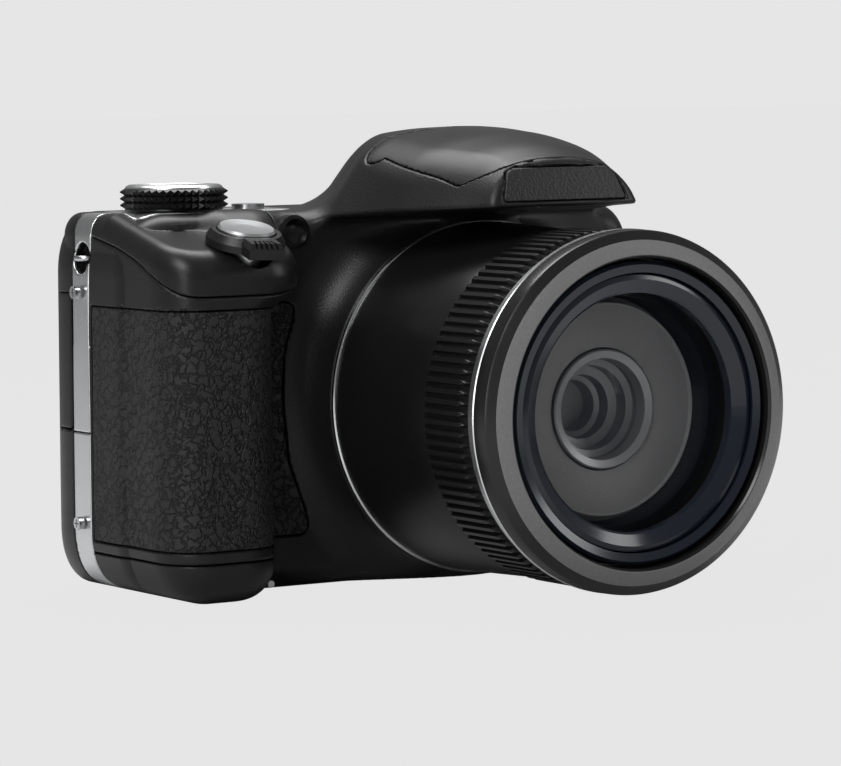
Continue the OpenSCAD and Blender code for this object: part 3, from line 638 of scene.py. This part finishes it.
turned("innerLensRing", [0.05, 4.7, 4.9, 5.9, 6.1, 7.8, 8.0, 9.3, 9.6, 11.0, 11.3, 11.3, 0.05],
       [27, 27, 23.6, 23.2, 20.6, 20.2, 17.4, 17, 13.4, 12.95, 13.2, 30, 30],
       "inner_group", "lens_trim", ["inner_lens_ring"])
turned("innerGlass", [0.05, 3, 6, 9.2, 9.2, 6, 3, 0.05],
       [14.0, 14.15, 14.6, 15.6, 16, 15, 14.55, 14.4], "inner_group", "glass", ["inner_glass"], 60)
turned("frontGlass", [0.05, 8, 16, 22.2, 22.2, 16, 8, 0.05],
       [5.2, 5.4, 6.0, 6.9, 7.3, 6.4, 5.8, 5.6], "front_tube", "glass", ["front_glass"], 60)
frame["nodes"]["outer_zoom_tube"].data.materials[0] = finishes["lens_ring"]
print("lens done")

# camera of the photograph: place, aim and roll
eye, aim = Vector((-0.45068, -0.70869, 0.10206)), Vector((-0.02364, -0.035, 0.04055))
roll = math.radians(-0.65)
ahead = (aim - eye).normalized()
right = ahead.cross(Vector((0, 0, 1))).normalized()
up = right.cross(ahead)
right, up = right * math.cos(roll) + up * math.sin(roll), up * math.cos(roll) - right * math.sin(roll)
camData = bpy.data.cameras.new("photoCamera")
camData.lens, camData.sensor_width, camData.clip_start, camData.clip_end = 180.4, 36, 0.01, 20
camera = bpy.data.objects.new("photoCamera", camData)
camera.matrix_world = Matrix((right, up, -ahead)).transposed().to_4x4()
camera.location = eye
bpy.context.collection.objects.link(camera)
bpy.context.scene.camera = camera


# rectangular light at a place, turned to face a point
def softLight(name, place, aimAt, size, power):
    data = bpy.data.lights.new(name, "AREA")
    data.shape, data.size, data.size_y, data.energy = "RECTANGLE", size[0], size[1], power
    lamp = bpy.data.objects.new(name, data)
    lamp.location = place
    lamp.rotation_euler = (Vector(aimAt) - Vector(place)).to_track_quat("-Z", "Y").to_euler()
    bpy.context.collection.objects.link(lamp)


softLight("keyLight", (-0.7, -0.35, 0.8), (0, -0.02, 0.04), (0.5, 0.5), 6.5)
softLight("sideLight", (-0.9, -0.55, 0.12), (0, -0.02, 0.04), (0.25, 0.6), 2.2)
softLight("fillLight", (0.75, -0.6, 0.4), (0, -0.04, 0.04), (0.25, 0.6), 2.2)
softLight("topLight", (0.1, 0.3, 0.8), (0, 0, 0.05), (0.7, 0.35), 6.0)

# pale floor: the camera sees an even tone with a faint shadow, the object sees a lit floor
side = 13
across, along = np.meshgrid(np.linspace(-6000, 6000, side), np.linspace(-6000, 6000, side), indexing="ij")
floorPoints = np.stack([across.ravel(), along.ravel(), np.zeros(side * side) - 0.1], 1)
corner = (np.arange(side - 1)[:, None] * side + np.arange(side - 1)[None, :]).ravel()
floor = putMesh("floor", floorPoints, np.stack([corner, corner + side, corner + side + 1, corner + 1], 1))
paleFloor = Finish("paleFloor", Roughness=0.9)
paleFloor.feed("Base Color", paleFloor.tint(paleFloor.noise(3.0), (0.6,) * 3, (0.62,) * 3))
seen = paleFloor.add("ShaderNodeLightPath", {}, []).out("Is Camera Ray") * 0.985
tone = paleFloor.add("ShaderNodeEmission", {}, {"Color": backdrop})
mixed = paleFloor.add("ShaderNodeMixShader", {}, [seen, Value(paleFloor, paleFloor.shader.outputs[0]), tone])
paleFloor.links.new(mixed.socket, paleFloor.nodes["Material Output"].inputs["Surface"])
floor.data.materials.append(paleFloor.material)

# world: an even backdrop for the camera, a dim one for everything else
world = bpy.data.worlds.new("studioWorld")
bpy.context.scene.world = world
world.use_nodes = True
sky = world.node_tree
dim = sky.nodes["Background"]
dim.inputs["Color"].default_value, dim.inputs["Strength"].default_value = backdrop, 0.25
plain = sky.nodes.new("ShaderNodeBackground")
plain.inputs["Color"].default_value = backdrop
choice, path = sky.nodes.new("ShaderNodeMixShader"), sky.nodes.new("ShaderNodeLightPath")
sky.links.new(path.outputs["Is Camera Ray"], choice.inputs[0])
sky.links.new(dim.outputs[0], choice.inputs[1])
sky.links.new(plain.outputs[0], choice.inputs[2])
sky.links.new(choice.outputs[0], sky.nodes["World Output"].inputs["Surface"])
bpy.context.scene.view_settings.view_transform = "Standard"

print("stage ready")
